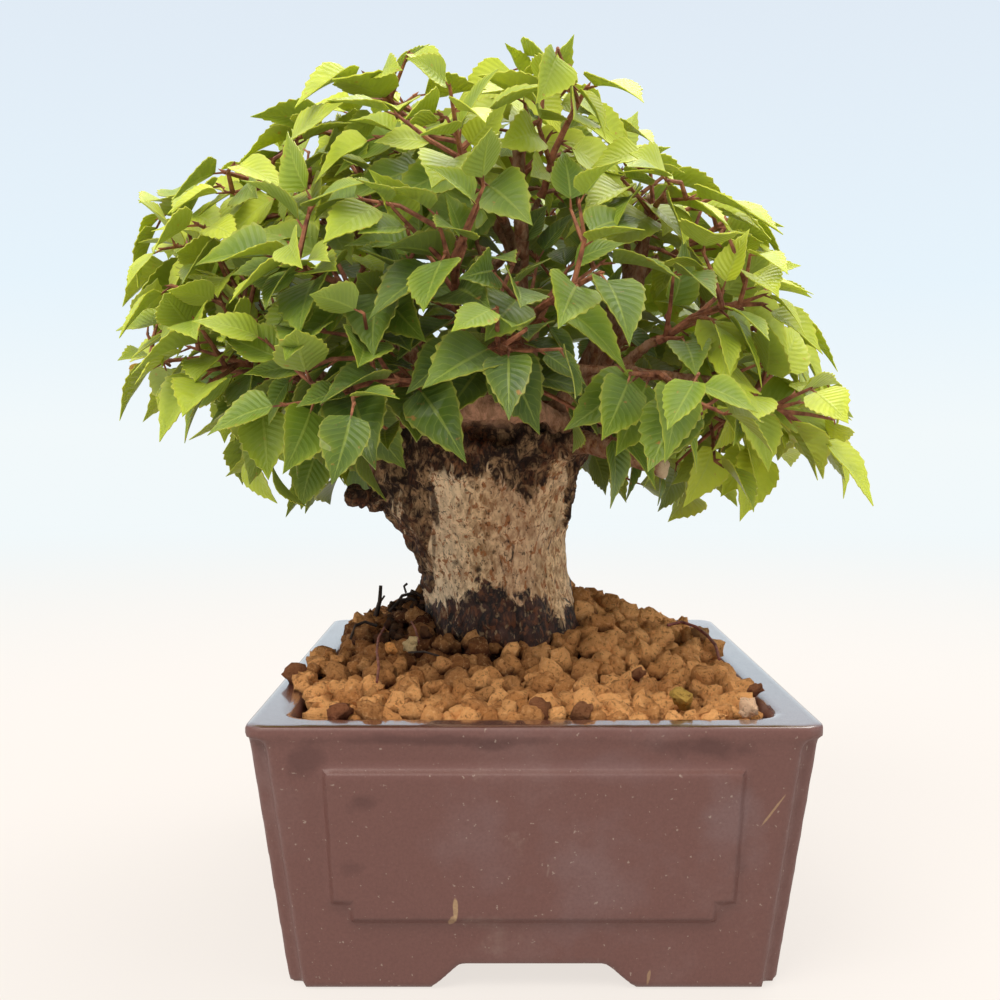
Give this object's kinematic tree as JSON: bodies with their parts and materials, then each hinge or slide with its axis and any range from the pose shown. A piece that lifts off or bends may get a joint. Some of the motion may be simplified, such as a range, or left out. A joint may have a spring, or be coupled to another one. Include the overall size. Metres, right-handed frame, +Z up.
{
  "type": "korean hornbeam bonsai",
  "caption": "Thick-trunked bonsai tree with serrated leaves, standing in mounded granular soil in a footed rectangular clay pot.",
  "frame": {"origin": "the floor under the middle of the whole object's bounding box; the pot stands a little to the right of it", "axes": "+Z up along the trunk; -Y towards the pot's short side that the picture shows as the front; +X to its right"},
  "size_m": [0.197, 0.1708, 0.2165],
  "materials": {
    "clay": "satin",
    "akadama": "matte",
    "bark": "matte",
    "leaf": "satin",
    "dark_wood": "matte",
    "plastic": "matte"
  },
  "bodies": {
    "root": {"dead_stick": "dark_wood", "drain_screen_1": "plastic", "drain_screen_2": "plastic", "pot": "clay", "soil": "akadama", "spray_01": "leaf", "spray_02": "leaf", "spray_03": "leaf", "spray_04": "leaf", "spray_05": "leaf", "spray_06": "leaf", "spray_07": "leaf", "spray_08": "leaf", "spray_09": "leaf", "spray_10": "leaf", "spray_11": "leaf", "spray_12": "leaf", "spray_13": "leaf", "spray_14": "leaf", "spray_15": "leaf", "spray_16": "leaf", "spray_17": "leaf", "spray_18": "leaf", "spray_19": "leaf", "spray_20": "leaf", "spray_21": "leaf", "spray_22": "leaf", "spray_23": "leaf", "spray_24": "leaf", "spray_25": "leaf", "spray_26": "leaf", "spray_27": "leaf", "spray_28": "leaf", "spray_29": "leaf", "spray_30": "leaf", "spray_31": "leaf", "spray_32": "leaf", "spray_33": "leaf", "spray_34": "leaf", "spray_35": "leaf", "trunk": "bark"}
  },
  "joints": []
}
